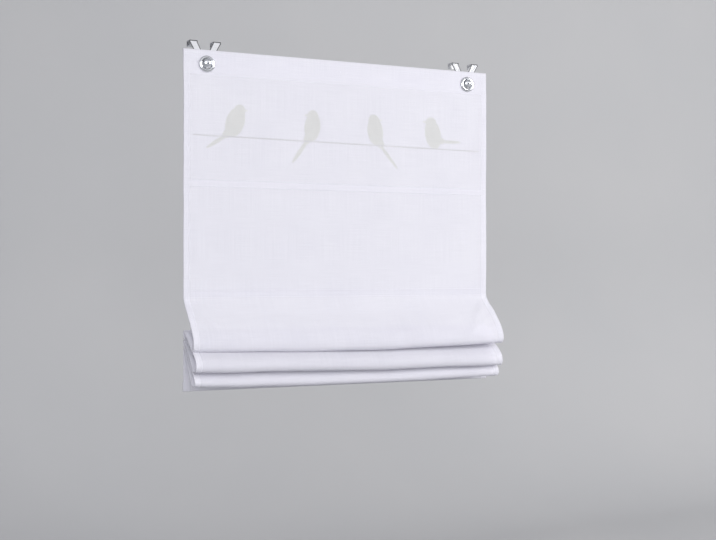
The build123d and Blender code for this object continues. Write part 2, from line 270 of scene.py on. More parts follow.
def make_twisted_yarn():
    """Twisted or plaited yarn: slanting ridges both ways, with loose fibre between them. Its tone
    is painted shade in the grooves between the ridges, with random darker fibre.
    """
    group, given, exit_node = effect(
        "twisted_yarn",
        (("Vector", VECTOR, None), ("Ridge", NUMBER, 0.0008), ("Fuzz", NUMBER, 0.4)),
        ("Tone", "Height"),
    )
    parts = add(group, "ShaderNodeSeparateXYZ", None, {0: given["Vector"]}).outputs
    rate = maths(group, "DIVIDE", 2 * pi, given["Ridge"])
    round_way = maths(group, "ADD", parts["X"], parts["Y"])
    ridges = []
    for way in (1.0, -1.0):
        slant = maths(group, "MULTIPLY", round_way, way)
        slant = maths(group, "MULTIPLY", maths(group, "ADD", slant, parts["Z"]), rate)
        ridges.append(maths(group, "ABSOLUTE", maths(group, "SINE", slant)))
    plait = maths(group, "MAXIMUM", *ridges)
    fibre = cloud(group, stretch(group, given["Vector"], (5200.0, 5200.0, 1400.0)), 1.0, 2.0)
    fuzz = maths(group, "MULTIPLY", fibre, given["Fuzz"])
    # The tone is lighter on the ridges and darker between them: painted shade in the grooves, plus
    # random darker fibre.
    tone = maths(group, "SUBTRACT", plait, maths(group, "MULTIPLY", fuzz, 0.5))
    put_out(group, exit_node, Tone=tone, Height=maths(group, "ADD", plait, fuzz))
    return group


def make_drawn_grain():
    """Drawn or rolled strip: long lines down its length and slight colour drift."""
    group, given, exit_node = effect(
        "drawn_grain",
        (("Vector", VECTOR, None), ("Lines", NUMBER, 1400.0), ("Drift", NUMBER, 12.0)),
        ("Tone", "Roughness", "Height"),
    )
    flat = stretch(group, given["Vector"], (0.02, 1.0, 1.0))
    lines = cloud(group, flat, given["Lines"], 3.0, 0.6)
    drift = cloud(group, given["Vector"], given["Drift"], 2.0)
    tone = maths(group, "MULTIPLY", maths(group, "ADD", lines, drift), 0.5)
    rough = remap(group, lines, 0.25, 0.75, 0.32, 0.55)
    put_out(group, exit_node, Tone=tone, Roughness=rough, Height=lines)
    return group


voile_weave = make_voile_weave()
moulded_skin = make_moulded_skin()
plated_skin = make_plated_skin()
twisted_yarn = make_twisted_yarn()
drawn_grain = make_drawn_grain()


# ------------------------------------------------------------------------------ materials
def new_material(name):
    """A material with an empty tree, and its Principled shader and output."""
    material = bpy.data.materials.new(name)
    material.use_nodes = True
    tree = material.node_tree
    tree.nodes.clear()
    shader = tree.nodes.new("ShaderNodeBsdfPrincipled")
    output = tree.nodes.new("ShaderNodeOutputMaterial")
    tree.links.new(shader.outputs[0], output.inputs["Surface"])
    return material, tree, shader, output


def place(tree):
    """Where a point is on the blind, in metres."""
    return add(tree, "ShaderNodeTexCoord").outputs["Object"]


def wire(tree, shader, **inputs):
    """Sets or links a shader's sockets by name."""
    for label, value in inputs.items():
        socket = shader.inputs[label.replace("_", " ")]
        if isinstance(value, bpy.types.NodeSocket):
            tree.links.new(value, socket)
        else:
            socket.default_value = value


def part_of(tree, share, first, second):
    """One shader, with a share of another mixed in."""
    inputs = {0: share, 1: first.outputs[0], 2: second.outputs[0]}
    return add(tree, "ShaderNodeMixShader", None, inputs)


def surfaced(name, group, tones, relief, given, edges=None, **looks):
    """A material that takes its colour between two tones, its roughness and its relief from an
    effect, with a painted dark reflection along arm edges where a colour for it is given."""
    material, tree, shader, _ = new_material(name)
    skin = use(tree, group, Vector=place(tree), **given)
    colour = mixed(tree, skin["Tone"], *[shade(*tone) for tone in tones])
    # A painted dark reflection along the hanger arms' edges, mixed into the base colour.
    if edges:
        colour = mixed(tree, painted_edge_reflection(tree), colour, shade(*edges))
    if "Roughness" in skin:
        rough = skin["Roughness"]
    else:
        rough = remap(tree, skin["Tone"], 0.0, 1.0, 0.95, 0.7)
    normal = bump(tree, skin["Height"], *relief)
    wire(tree, shader, Base_Color=colour, Roughness=rough, Normal=normal, **looks)
    return material


def moulded(name, deep, light, grain, scuffs, coat=0.0):
    given = {"Grain": grain, "Scuffs": scuffs}
    looks = {"Coat_Weight": coat, "Specular_IOR_Level": 0.5}
    return surfaced(name, moulded_skin, (deep, light), (0.25, 0.00008), given, **looks)


def plated(name, deep, light, polish, smears, edges=None):
    given = {"Polish": polish, "Smears": smears}
    tones, relief = (deep, light), (0.06, 0.00003)
    return surfaced(name, plated_skin, tones, relief, given, edges, Metallic=1.0)


def strip(name, deep, light, lines, metallic):
    given = {"Lines": lines, "Drift": 9.0}
    return surfaced(name, drawn_grain, (deep, light), (0.2, 0.0001), given, Metallic=metallic)


def yarn(name, deep, light, ridge, fuzz, depth):
    given = {"Ridge": ridge, "Fuzz": fuzz}
    return surfaced(name, twisted_yarn, (deep, light), (0.6, depth), given, Sheen_Weight=0.25)


# A hanger's sizes in metres, which the painted dark reflection along its arms' edges follows.
HUB_RADIUS = 0.011
CROTCH_RISE = 0.0108  # above the knob
ARM_STRAIGHT = 0.003  # the straight end of each arm, below the sash's top edge
HANGER_HALF = 0.0375
ARM_WIDTH = 0.019
ARM_TOP = 0.0008
ARM_FACE = (-0.0011, -0.0006)  # painted dark in front of the first, plain behind the second
EDGE_FADE = (0.001, 0.0028)  # fully painted dark and no longer painted dark, in from an arm's edge
CROTCH_FADE = 0.005


def painted_edge_reflection(tree):
    """A painted dark reflection round the front edges of a hanger's two arms, standing in for the
    dark studio that rounded edges would mirror; the plating is not darker there.
    """
    knob = middle("right_hanger_knob")
    crotch = knob.z + CROTCH_RISE
    parts = add(tree, "ShaderNodeSeparateXYZ", None, {0: place(tree)}).outputs
    across = maths(tree, "ABSOLUTE", parts["X"])
    across = maths(tree, "ABSOLUTE", maths(tree, "SUBTRACT", across, knob.x))
    outer = remap(tree, parts["Z"], knob.z, -ARM_STRAIGHT, HUB_RADIUS, HANGER_HALF)
    inner = remap(tree, parts["Z"], crotch, -ARM_STRAIGHT, 0.0, HANGER_HALF - ARM_WIDTH)
    gaps = (
        maths(tree, "SUBTRACT", outer, across),
        maths(tree, "SUBTRACT", across, inner),
        maths(tree, "SUBTRACT", ARM_TOP, parts["Z"]),
    )
    nearest = maths(tree, "MINIMUM", maths(tree, "MINIMUM", gaps[0], gaps[1]), gaps[2])
    front = remap(tree, parts["Y"], *ARM_FACE, 1.0, 0.0)
    arms = remap(tree, parts["Z"], crotch, crotch + CROTCH_FADE, 0.0, 1.0)
    edge = remap(tree, nearest, *EDGE_FADE, 1.0, 0.0)
    return maths(tree, "MULTIPLY", maths(tree, "MULTIPLY", edge, front), arms)


# Each bird is where it sits, in metres across, and its ellipses. Each ellipse is in millimetres
# from there: across, up, half its width, half its height, and its turn in degrees.
PRINT_BIRDS = (
    (-0.278, ((13, 61, 14, 14, 0), (2, 34, 22.5, 36, 20), (-14, 9, 17, 10, -32),
              (-40, -10, 33, 4.6, -33), (27, 62, 5.5, 2.4, 8))),
    (-0.084, ((3, 60, 14.5, 14, 0), (2, 34, 20.5, 34, 8), (-9, 8, 10, 17, 30),
              (-29, -23, 5.2, 36, 36), (-13, 61, 5.5, 2.4, 10))),
    (0.086, ((-6, 60, 14.5, 14, 0), (-2, 34, 21, 34, -9), (10, 8, 10, 17, -32),
             (33, -24, 4.2, 40, -41), (11, 61, 5.5, 2.4, -10))),
    (0.246, ((-7, 64, 15, 14, 0), (-1, 35, 22.5, 36, -12), (17, 21, 17, 8, 6),
             (47, 19, 32, 4, -1), (-24, 65, 6.5, 2.6, 8))),
)
# The printed line that they sit on: its two ends and half its width, in metres.
WIRE_LEFT = (-0.379, -0.2142)
WIRE_RIGHT = (0.377, -0.2201)
WIRE_HALF = 0.0016
DEPTH_OFF = 1000.0  # so large that how far forward the cloth hangs doesn't move its print


def on_print(tree, vector, across, up, half_width, half_height, turn):
    """A point's place on the cloth's face, as shares of one turned shape's half sizes."""
    inputs = {
        "Vector": vector,
        "Location": (across, 0.0, up),
        "Rotation": (0.0, radians(turn), 0.0),
        "Scale": (half_width, DEPTH_OFF, half_height),
    }
    return add(tree, "ShaderNodeMapping", {"vector_type": "TEXTURE"}, inputs).outputs["Vector"]


def ellipse(tree, vector, *shape):
    """How far out of an ellipse on the cloth's face a point is: 1 at its rim."""
    local = on_print(tree, vector, *shape)
    return add(tree, "ShaderNodeVectorMath", {"operation": "LENGTH"}, {0: local}).outputs["Value"]


def printed_birds(tree, vector):
    """How much of a point is inside a bird, and how much of it is on the line that they sit on."""
    run = WIRE_RIGHT[0] - WIRE_LEFT[0]
    slope = (WIRE_RIGHT[1] - WIRE_LEFT[1]) / run
    nearest = None
    for across, shapes in PRINT_BIRDS:
        perch = WIRE_LEFT[1] + slope * (across - WIRE_LEFT[0])
        for x, up, half_width, half_height, turn in shapes:
            at = (across + x * MM, perch + up * MM, half_width * MM, half_height * MM, turn)
            out = ellipse(tree, vector, *at)
            nearest = out if nearest is None else maths(tree, "MINIMUM", nearest, out)
    bird = remap(tree, nearest, 0.97, 1.03, 1.0, 0.0)
    centre = [(low + high) / 2 for low, high in zip(WIRE_LEFT, WIRE_RIGHT)]
    local = on_print(tree, vector, *centre, run / 2, WIRE_HALF, -slope * 180 / pi)
    parts = add(tree, "ShaderNodeSeparateXYZ", None, {0: local}).outputs
    beside = remap(tree, maths(tree, "ABSOLUTE", parts["Z"]), 0.6, 1.4, 1.0, 0.0)
    within = remap(tree, maths(tree, "ABSOLUTE", parts["X"]), 0.998, 1.0, 1.0, 0.0)
    return bird, maths(tree, "MULTIPLY", beside, within)


DENSER = 0.2  # how much less sight goes through the layers
INKED = 0.1  # and through the print
GLOW = 0.1  # how much of the light on the threads goes on through them


def doubled(tree, vector):
    """1 where the cloth lies in layers: top and side hems, and the pocket of its first stave."""
    parts = add(tree, "ShaderNodeSeparateXYZ", None, {0: vector}).outputs
    blur = 0.2 * MM
    side = (HALF_WIDTH - SIDE_HEM) * MM
    layers = remap(tree, maths(tree, "ABSOLUTE", parts["X"]), side - blur, side + blur, 0.0, 1.0)
    bands = ((TOP_HEM / 2, TOP_HEM / 2), (STAVES[0], POCKET_HALF))
    for drop, half in bands:
        off = maths(tree, "SUBTRACT", parts["Z"], (TOP - drop) * MM)
        off = maths(tree, "ABSOLUTE", off)
        inside = remap(tree, off, half * MM - blur, half * MM + blur, 1.0, 0.0)
        layers = maths(tree, "MAXIMUM", layers, inside)
    return layers


def voile(name, with_print):
    """Sheer woven cloth: part of each thread's light goes through it, and so does some sight."""
    material, tree, shader, output = new_material(name)
    weave_place = add(tree, "ShaderNodeUVMap", {"uv_map": "weave"}).outputs["UV"]
    weave = use(tree, voile_weave, Vector=weave_place, Pitch=0.0006, Slubs=0.22)
    colour = mixed(tree, weave["Tone"], shade(231, 230, 240), shade(249, 248, 253))
    cover = remap(tree, weave["Cover"], 0.1, 0.9, 0.42, 0.62)
    if with_print:
        bird, line = printed_birds(tree, place(tree))
        ink = mixed(tree, weave["Tone"], shade(219, 219, 218), shade(230, 230, 229))
        colour = mixed(tree, bird, colour, ink)
        ink = mixed(tree, weave["Tone"], shade(214, 213, 217), shade(225, 224, 227))
        colour = mixed(tree, line, colour, ink)
        inked = maths(tree, "MULTIPLY", maths(tree, "MAXIMUM", bird, line), INKED)
        layers = maths(tree, "MULTIPLY", doubled(tree, place(tree)), DENSER)
        cover = maths(tree, "ADD", cover, maths(tree, "MAXIMUM", inked, layers))
    normal = bump(tree, weave["Height"], 0.3, 0.0001)
    wire(tree, shader, Base_Color=colour, Roughness=0.82, Normal=normal, Sheen_Weight=0.2)
    shader.inputs["Specular IOR Level"].default_value = 0.2
    glow = add(tree, "ShaderNodeBsdfTranslucent", None, {"Color": colour, "Normal": normal})
    lit = part_of(tree, GLOW, shader, glow)
    sheer = part_of(tree, cover, add(tree, "ShaderNodeBsdfTransparent"), lit)
    tree.links.new(sheer.outputs[0], output.inputs["Surface"])
    return material


# A thread's and a cord's deep tone is partly painted shade in the grooves of their twist, partly
# random darker fibre.
sewing_thread = yarn("sewing_thread", (206, 206, 214), (236, 236, 242), 0.0005, 0.3, 0.00006)
cord_yarn = yarn("cord_yarn", (205, 205, 208), (244, 244, 243), 0.0011, 0.4, 0.00022)
white_stave = strip("white_stave", (226, 227, 230), (247, 247, 248), 1400.0, 0.0)
coated_bar = strip("coated_bar", (220, 221, 224), (243, 243, 245), 900.0, 0.15)
eyelet_chrome = plated("eyelet_chrome", (168, 170, 174), (226, 228, 231), 0.06, 0.1)
knob_chrome = plated("knob_chrome", (160, 163, 168), (224, 227, 231), 0.045, 0.06)
HANGER_TONES = ((176, 178, 181), (230, 231, 233))
# The hanger's edge colour (70, 71, 74) is a painted dark reflection along its arms' edges.
hanger_chrome = plated("hanger_chrome", *HANGER_TONES, 0.11, 0.12, edges=(70, 71, 74))
spring_steel = plated("spring_steel", (120, 121, 124), (188, 190, 194), 0.2, 0.15)
ring_plastic = moulded("ring_plastic", (228, 229, 231), (247, 247, 247), 2600.0, 0.15, 0.2)
guide_plastic = moulded("guide_plastic", (222, 223, 224), (243, 243, 242), 2200.0, 0.12)
lock_plastic = moulded("lock_plastic", (218, 219, 221), (240, 240, 240), 1900.0, 0.12)
button_plastic = moulded("button_plastic", (196, 199, 204), (226, 228, 231), 2400.0, 0.18, 0.15)
bell_plastic = moulded("bell_plastic", (226, 226, 224), (246, 246, 243), 2100.0, 0.2, 0.3)

FINISHES = {
    "stave": white_stave,
    "header_stave": white_stave,
    "bottom_bar": coated_bar,
    "eyelet": eyelet_chrome,
    "hanger_knob": knob_chrome,
    "hanger": hanger_chrome,
    "ring": ring_plastic,
    "cord_guide": guide_plastic,
    "lock_body": lock_plastic,
    "lock_button": button_plastic,
    "lock_spring": spring_steel,
    "cord_bell": bell_plastic,
}
for name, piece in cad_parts.items():
    known = [key for key in FINISHES if key in name]
    if known:
        piece.data.materials.clear()
        piece.data.materials.append(FINISHES[max(known, key=len)])


# ------------------------------------------------------------------------------ cloth's section
HALF_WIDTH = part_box("cloth")[1].x / MM
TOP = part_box("cloth")[1].z / MM
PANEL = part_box("stave_1")[0].y / MM - 0.6  # where the panel hangs
STAVES = [TOP - middle(f"stave_{number}").z / MM for number in range(1, 6)]
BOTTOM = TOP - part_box("cloth")[0].z / MM
EYELETS = [middle(f"{end}_eyelet_front") for end in ENDS]
EYELET_X = EYELETS[1].x / MM
EYELET_DROP = TOP - EYELETS[1].z / MM
WEAVE_THICKNESS = 0.24
HALF_CLOTH = WEAVE_THICKNESS / 2 + 0.03  # and the gap to what lies on it
LAYER = 0.3  # from one layer of a hem to the next
TOP_HEM = 56.0
SIDE_HEM = 15.0
POCKET_HALF = 6.9  # from a stave's middle to its pocket's seam
TURN_GAP = 3.2  # how far a fold's last turn, into the next pocket, stands forward
HOLE = 12.45  # the radius round an eyelet's barrel
HOLE_REACH = 20.0  # the cloth's threads are pushed aside out to here
HEADER_DEPTH = 3.2
HEADER_SEAM = 12.5  # from the top edge
EDGE_SEAM = 2.5  # from a turned or raw edge to the row of stitches beside it
BAR_DEPTH = 4.2
BAR_HEM = 28.0

voile_printed = voile("voile_printed", True)
voile_plain = voile("voile_plain", False)

# How each fold hangs: how far it stands forward, and how far it is below the stave it hangs from.
FIRST_FOLD = ((0, 11), (9, 24), (26, 43), (52, 69), (68, 89), (77, 109), (76, 124), (65, 131))
SECOND_FOLD = ((9, 11), (26, 22), (47, 37), (67, 50), (80, 63), (84, 77), (78, 88), (63, 89))
THIRD_FOLD = ((9, 13), (25, 33), (43, 54), (58, 71), (68, 81), (71, 90), (66, 98), (52, 100))


def hanging(stave, fold):
    """A fold's points and the turn into the next raised pocket."""
    up = STAVES[stave] - POCKET_HALF
    points = [(forward, STAVES[stave - 1] + down) for forward, down in fold]
    return [*points, (TURN_GAP, up), (0, up), (0, STAVES[stave] + POCKET_HALF)]


def rounded(points, share=0.45, steps=8):
    """The line with a curve in place of each corner."""
    points = [Vector(point) for point in points]
    line = [points[0]]
    for before, corner, after in zip(points, points[1:], points[2:]):
        reach = share * min((before - corner).length, (after - corner).length)
        start = corner + (before - corner).normalized() * reach
        end = corner + (after - corner).normalized() * reach
        for step in range(steps + 1):
            t = step / steps
            line.append(start * (1 - t) ** 2 + corner * 2 * t * (1 - t) + end * t**2)
    line.append(points[-1])
    return line


HEM_BACK = -3 * LAYER
section = rounded(
    [
        (HEM_BACK, TOP_HEM),
        (HEM_BACK, 11.2),
        (-HEADER_DEPTH, 9.5),
        (-HEADER_DEPTH, HALF_CLOTH),
        (0, HALF_CLOTH),
        *hanging(2, FIRST_FOLD),
        *hanging(3, SECOND_FOLD),
        *hanging(4, THIRD_FOLD)[:-1],
        (0, BOTTOM - HALF_CLOTH),
        (-BAR_DEPTH, BOTTOM - HALF_CLOTH),
        (-BAR_DEPTH, BOTTOM - 22.4),
        (HEM_BACK, BOTTOM - 23.6),
        (HEM_BACK, BOTTOM - BAR_HEM),
    ]
)
lengths = [0.0]
for start, end in zip(section, section[1:]):
    lengths.append(lengths[-1] + (end - start).length)
CUT_LENGTH = lengths[-1]


def on_section(along):
    """The section's point at a distance along it from the raw edge of the top hem."""
    at = min(max(bisect_right(lengths, along) - 1, 0), len(section) - 2)
    run = max(lengths[at + 1] - lengths[at], 1e-9)
    return section[at].lerp(section[at + 1], (along - lengths[at]) / run)


def face_way(along):
    """The way that the cloth's face looks there, forward and down."""
    run = on_section(min(along + 0.7, CUT_LENGTH)) - on_section(max(along - 0.7, 0.0))
    return Vector((run.y, -run.x)).normalized()


def passes(drop, forward=0.0, after=0.0):
    """The distance along the section, past after, at which it goes down through a drop."""
    for at in range(len(section) - 1):
        start, end = section[at], section[at + 1]
        if lengths[at + 1] > after and start.y <= drop < end.y and abs(start.x - forward) < 0.2:
            share = (drop - start.y) / (end.y - start.y)
            return lengths[at] + share * (lengths[at + 1] - lengths[at])
    raise ValueError(f"the cloth doesn't pass a drop of {drop}")


FRONT = passes(30.0) - 30.0  # what a drop on the front panel adds to
POCKETS = [passes(drop, after=FRONT) for drop in STAVES]
BAR_SEAM = passes(BOTTOM - BAR_HEM + EDGE_SEAM, after=POCKETS[-1])
HEM_SEAMS = [FRONT + HEADER_SEAM, FRONT + TOP_HEM - EDGE_SEAM]
SEAMS = [*HEM_SEAMS, *POCKETS, BAR_SEAM]

# Soft pulls in the cloth: where each starts and ends, across and down, and its width and height.
PULLS = (
    (-322, 86, -262, 190, 9, 0.5),
    (322, 86, 268, 180, 9, 0.5),
    (396, 566, 318, 640, 9, 1.6),
    (398, 604, 300, 655, 7, 1.0),
    (392, 545, 352, 628, 8, 0.9),
    (-396, 570, -330, 645, 9, 1.3),
    (-392, 600, -270, 652, 8, 1.0),
    (-240, 610, -90, 652, 11, 0.9),
    (90, 648, 250, 622, 10, 0.8),
)

# How each fold leans forward at the left and right edge, as a share, and how far it hangs below
# its section at the left edge, the middle and the right edge.
LEANS = ((-0.07, 0.07), (0.08, -0.08), (0.11, -0.14))
SAGS = ((-3.0, 5.0, -4.0), (-7.0, 1.0, 1.5), (-5.0, 3.0, -2.0))


def uneven(x, along):
    """How a fold differs there from its section: its share forward and its extra drop."""
    fold = sum(along > pocket for pocket in POCKETS[2:])
    share = x / HALF_WIDTH
    if along < POCKETS[1] or fold > 2:
        return 0.0, 0.0
    left, right = LEANS[fold]
    lean = (right - left) / 2 * share + (right + left) / 2 * share**2
    left, centre, right = SAGS[fold]
    sag = centre + (right - left) / 2 * share + ((right + left) / 2 - centre) * share**2
    return lean, sag


def pulled(x, drop):
    """How far the soft pulls lift the cloth."""
    total = 0.0
    for x0, drop0, x1, drop1, width, height in PULLS:
        run = Vector((x1 - x0, drop1 - drop0))
        from_start = Vector((x - x0, drop - drop0))
        share = from_start.dot(run) / run.length_squared
        if -0.3 < share < 1.3:
            off = (from_start - run * share).length
            ends = smooth((share + 0.3) / 0.4) * smooth((1.3 - share) / 0.5)
            total += height * ends * exp(-((off / width) ** 2))
    return total


def wander(*place_in_mm):
    """Smooth noise from -1 to 1."""
    return noise.noise(Vector((*place_in_mm, 0.0, 0.0)[:3]))


def free_of(x, along, drop):
    """0 where a stave, an eyelet or a guide holds the cloth flat, 1 where it hangs free."""
    free = min(smooth((abs(along - pocket) - 9.0) / 50.0) for pocket in POCKETS)
    free *= smooth((CUT_LENGTH - along - 62.0) / 40.0)
    if along < FRONT + 200:
        free *= smooth((drop - 16.0) / 60.0)
        for eyelet in EYELETS:
            away = hypot(x - eyelet.x / MM, drop - EYELET_DROP)
            free *= smooth((away - 24.0) / 40.0)
    return free


def on_cloth(across, along, out=0.0):
    """A place on the cloth in metres. Past the side edge, it is on the side hem's back layer."""
    side = 1 if across > 0 else -1
    over = abs(across) - HALF_WIDTH
    x = across if over <= 0 else side * (HALF_WIDTH - over)
    out -= LAYER * smooth((over + 0.6) / 1.2)
    point = on_section(along)
    forward, drop = point
    way = face_way(along)
    free = free_of(x, along, drop)
    raised = smooth((along - POCKETS[1]) / 60.0)
    if raised > 0:
        waver = wander(x / 150, along / 95, 3.1) * 1.4 + wander(x / 46, along / 60, 7.7) * 0.4
        lean, sag = uneven(x, along)
        out += free * raised * (waver + pulled(x, drop) * (along < POCKETS[2]))
        forward *= 1 + lean * raised
        drop += free * raised * (sag + wander(x / 160, along / 400, 5.3) * 1.3)
    flat = free * (1 - raised)
    ripple = 1.5 * (0.5 + wander(x / 95, drop / 240, 1.7)) + 0.35 * wander(x / 30, drop / 55, 9.2)
    forward += flat * (ripple + pulled(x, drop))
    for seam in SEAMS:
        near = abs(along - seam)
        if near < 16:
            gather = 0.5 + 0.5 * wander(x / 5.5, seam, 2.2)
            forward += 0.16 * gather * exp(-((near / 6.0) ** 2)) * (1 if drop > TOP_HEM else 0.5)
    edge = smooth((abs(x) - 360) / 40)
    x += side * edge * free * (0.9 * wander(along / 120, 4.4) + 0.25 * wander(along / 14, 8.8))
    forward += out * way.x
    drop += out * way.y
    return Vector((x, PANEL - forward, TOP - drop)) * MM


# ------------------------------------------------------------------------------ cloth panel
def filled(marks, widest):
    """The marks with even steps put in wherever they are further apart than widest."""
    result = [marks[0]]
    for before, after in zip(marks, marks[1:]):
        steps = max(1, int((after - before) / widest + 0.999))
        result += [before + (after - before) * step / steps for step in range(1, steps + 1)]
    return result


HOLE_MARKS = (-20, -16, -12, -9, -6, -3, 0, 3, 6, 9, 12, 16, 20)
HOLE_EDGE = 12  # the squares up to here from an eyelet's middle are left out
side_marks = [386.0, 393.0, 398.5, HALF_WIDTH]
side_marks += [HALF_WIDTH + mark for mark in (1.5, 8, SIDE_HEM)]
half_columns = sorted({EYELET_X + mark for mark in HOLE_MARKS} | set(side_marks))
columns = filled(sorted({-mark for mark in half_columns} | {0.0} | set(half_columns)), 7.5)

hem_rows = [TOP_HEM - EYELET_DROP - mark for mark in reversed(HOLE_MARKS)]
front_rows = [FRONT + EYELET_DROP + mark for mark in HOLE_MARKS]
turn_rows = [blend(hem_rows[-1], FRONT, step / 12) for step in range(1, 13)]
seam_rows = [along for pocket in POCKETS[:2] for along in (pocket - 8, pocket, pocket + 8)]
flat_rows = filled([front_rows[-1], *seam_rows], 7.5)
fold_start, fold_end = seam_rows[-1], CUT_LENGTH
fold_count = int((fold_end - fold_start) / 4.1)
fold_rows = [blend(fold_start, fold_end, step / fold_count) for step in range(1, fold_count + 1)]
rows = [0.0, *hem_rows, *turn_rows, FRONT + 6, *front_rows, *flat_rows[1:], *fold_rows]


def round_hole(across, along):
    """Moves a place in the top hem outwards round the nearest eyelet's hole."""
    drop = TOP_HEM - along if along < FRONT - 8 else along - FRONT
    side = 1 if across > 0 else -1
    u, v = across - side * EYELET_X, drop - EYELET_DROP
    square = max(abs(u), abs(v))
    if square >= HOLE_REACH or along > FRONT + 80 or drop < 11:
        return across, along
    share = max(0.0, (square - HOLE_EDGE) / (HOLE_REACH - HOLE_EDGE))
    grow = blend(HOLE / max(hypot(u, v), 1e-6), 1.0, share)
    v_sign = -1 if along < FRONT - 8 else 1
    return across + u * (grow - 1), along + v_sign * v * (grow - 1)


def in_hole(across, along):
    """Whether a place is inside an eyelet's hole, through both layers of the hem."""
    drop = TOP_HEM - along if along < FRONT - 8 else along - FRONT
    u, v = abs(across) - EYELET_X, drop - EYELET_DROP
    return max(abs(u), abs(v)) < HOLE_EDGE and along < FRONT + 80


def cloth_grid(name, across_marks, along_marks, surface, skip=None):
    """A sheet of squares over a surface, with the weave's own coordinates in metres."""
    points, weave, faces = [], [], []
    for along in along_marks:
        for across in across_marks:
            spot = round_hole(across, along) if skip else (across, along)
            points.append(surface(*spot))
            weave.append((spot[0] * MM, spot[1] * MM))
    wide = len(across_marks)
    for row in range(len(along_marks) - 1):
        along = (along_marks[row] + along_marks[row + 1]) / 2
        for column in range(wide - 1):
            across = (across_marks[column] + across_marks[column + 1]) / 2
            if not (skip and skip(across, along)):
                corner = row * wide + column
                faces.append((corner, corner + wide, corner + wide + 1, corner + 1))
    used = sorted({corner for face in faces for corner in face})
    renumber = {old: new for new, old in enumerate(used)}
    points = [points[old] for old in used]
    weave = [weave[old] for old in used]
    faces = [tuple(renumber[corner] for corner in face) for face in faces]
    piece = mesh_piece(name, points, faces)
    layer = piece.data.uv_layers.new(name="weave")
    for loop in piece.data.loops:
        layer.data[loop.index].uv = weave[loop.vertex_index]
    rounded_off(piece)
    wall = piece.modifiers.new("weave thickness", "SOLIDIFY")
    wall.thickness = WEAVE_THICKNESS * MM
    wall.offset = 0.0
    return piece


panel = cloth_grid("voile_panel", columns, rows, on_cloth, in_hole)
keep(panel, voile_printed)
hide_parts("cloth")

# ------------------------------------------------------------------------------ stave pockets
POCKET_BACK = -3.2
POCKET_SEAM = -0.62
pocket_section = rounded(
    [
        (POCKET_SEAM, -8.6),
        (POCKET_SEAM, -6.75),
        (POCKET_BACK, -6.55),
        (POCKET_BACK, 6.55),
        (POCKET_SEAM, 6.75),
        (POCKET_SEAM, 8.6),
    ],
    steps=4,
)
pocket_columns = filled([-HALF_WIDTH + 1.5, HALF_WIDTH - 1.5], 9.0)
for number, stave_drop in enumerate(STAVES, start=1):

    def on_pocket(across, at, stave_drop=stave_drop, number=number):
        forward, down = pocket_section[round(at)]
        waver = 0.22 * wander(across / 9, number, at / 6)
        return Vector((across, PANEL - forward, TOP - stave_drop - down + 0.5 * waver)) * MM

    steps = [float(step) for step in range(len(pocket_section))]
    pocket = cloth_grid(f"pocket_strip_{number}", pocket_columns, steps[::-1], on_pocket)
    keep(pocket, voile_plain)


# ------------------------------------------------------------------------------ sewing
def geometry_tree(name, inputs):
    """An empty geometry tree with a Lines input, its own named inputs and one result."""
    tree = bpy.data.node_groups.new(name, "GeometryNodeTree")
    sockets = [("Lines", "NodeSocketGeometry", None), *inputs]
    sockets.append(("Thread", "NodeSocketMaterial", None))
    for label, kind, value in sockets:
        socket = tree.interface.new_socket(label, in_out="INPUT", socket_type=kind)
        if value is not None:
            socket.default_value = value
    tree.interface.new_socket("Sewing", in_out="OUTPUT", socket_type="NodeSocketGeometry")
    return tree, tree.nodes.new("NodeGroupInput").outputs, tree.nodes.new("NodeGroupOutput")


def finish_sewing(tree, sewing, thread, exit_node):
    """Makes the sewing real, gives it its thread and puts it out."""
    real = add(tree, "GeometryNodeRealizeInstances", None, {0: sewing})
    inputs = {"Geometry": real.outputs[0], "Material": thread}
    done = add(tree, "GeometryNodeSetMaterial", None, inputs)
    tree.links.new(done.outputs[0], exit_node.inputs[0])
    return tree


def make_running_stitch():
    """Lays a row of thread stitches along every line."""
    tree, given, exit_node = geometry_tree(
        "running_stitch",
        (
            ("Pitch", NUMBER, 0.0034),
            ("Stitch Length", NUMBER, 0.0026),
            ("Thread Width", NUMBER, 0.00042),
        ),
    )
    line = add(tree, "GeometryNodeMeshToCurve", None, {"Mesh": given["Lines"]})
    inputs = {"Curve": line.outputs[0], "Length": given["Pitch"]}
    spots = add(tree, "GeometryNodeResampleCurve", {"mode": "LENGTH"}, inputs)
    inputs = {"Segments": 5, "Rings": 4, "Radius": 0.5}
    bead = add(tree, "GeometryNodeMeshUVSphere", None, inputs)
    way = {"Vector": add(tree, "GeometryNodeInputTangent").outputs[0]}
    turn = add(tree, "FunctionNodeAlignRotationToVector", {"axis": "Z"}, way)
    width = given["Thread Width"]
    inputs = {"X": width, "Y": width, "Z": given["Stitch Length"]}
    size = add(tree, "ShaderNodeCombineXYZ", None, inputs)
    inputs = {
        "Points": spots.outputs[0],
        "Instance": bead.outputs["Mesh"],
        "Rotation": turn.outputs[0],
        "Scale": size.outputs[0],
    }
    laid = add(tree, "GeometryNodeInstanceOnPoints", None, inputs)
    return finish_sewing(tree, laid.outputs[0], given["Thread"], exit_node)


def make_thread_tie():
    """Turns every line into thread of its own thickness."""
    inputs = (("Thread Radius", NUMBER, 0.0002),)
    tree, given, exit_node = geometry_tree("thread_tie", inputs)
    line = add(tree, "GeometryNodeMeshToCurve", None, {"Mesh": given["Lines"]})
    inputs = {"Resolution": 6, "Radius": given["Thread Radius"]}
    ring = add(tree, "GeometryNodeCurvePrimitiveCircle", None, inputs)
    inputs = {"Curve": line.outputs[0], "Profile Curve": ring.outputs[0], "Fill Caps": True}
    thread = add(tree, "GeometryNodeCurveToMesh", None, inputs)
    return finish_sewing(tree, thread.outputs[0], given["Thread"], exit_node)


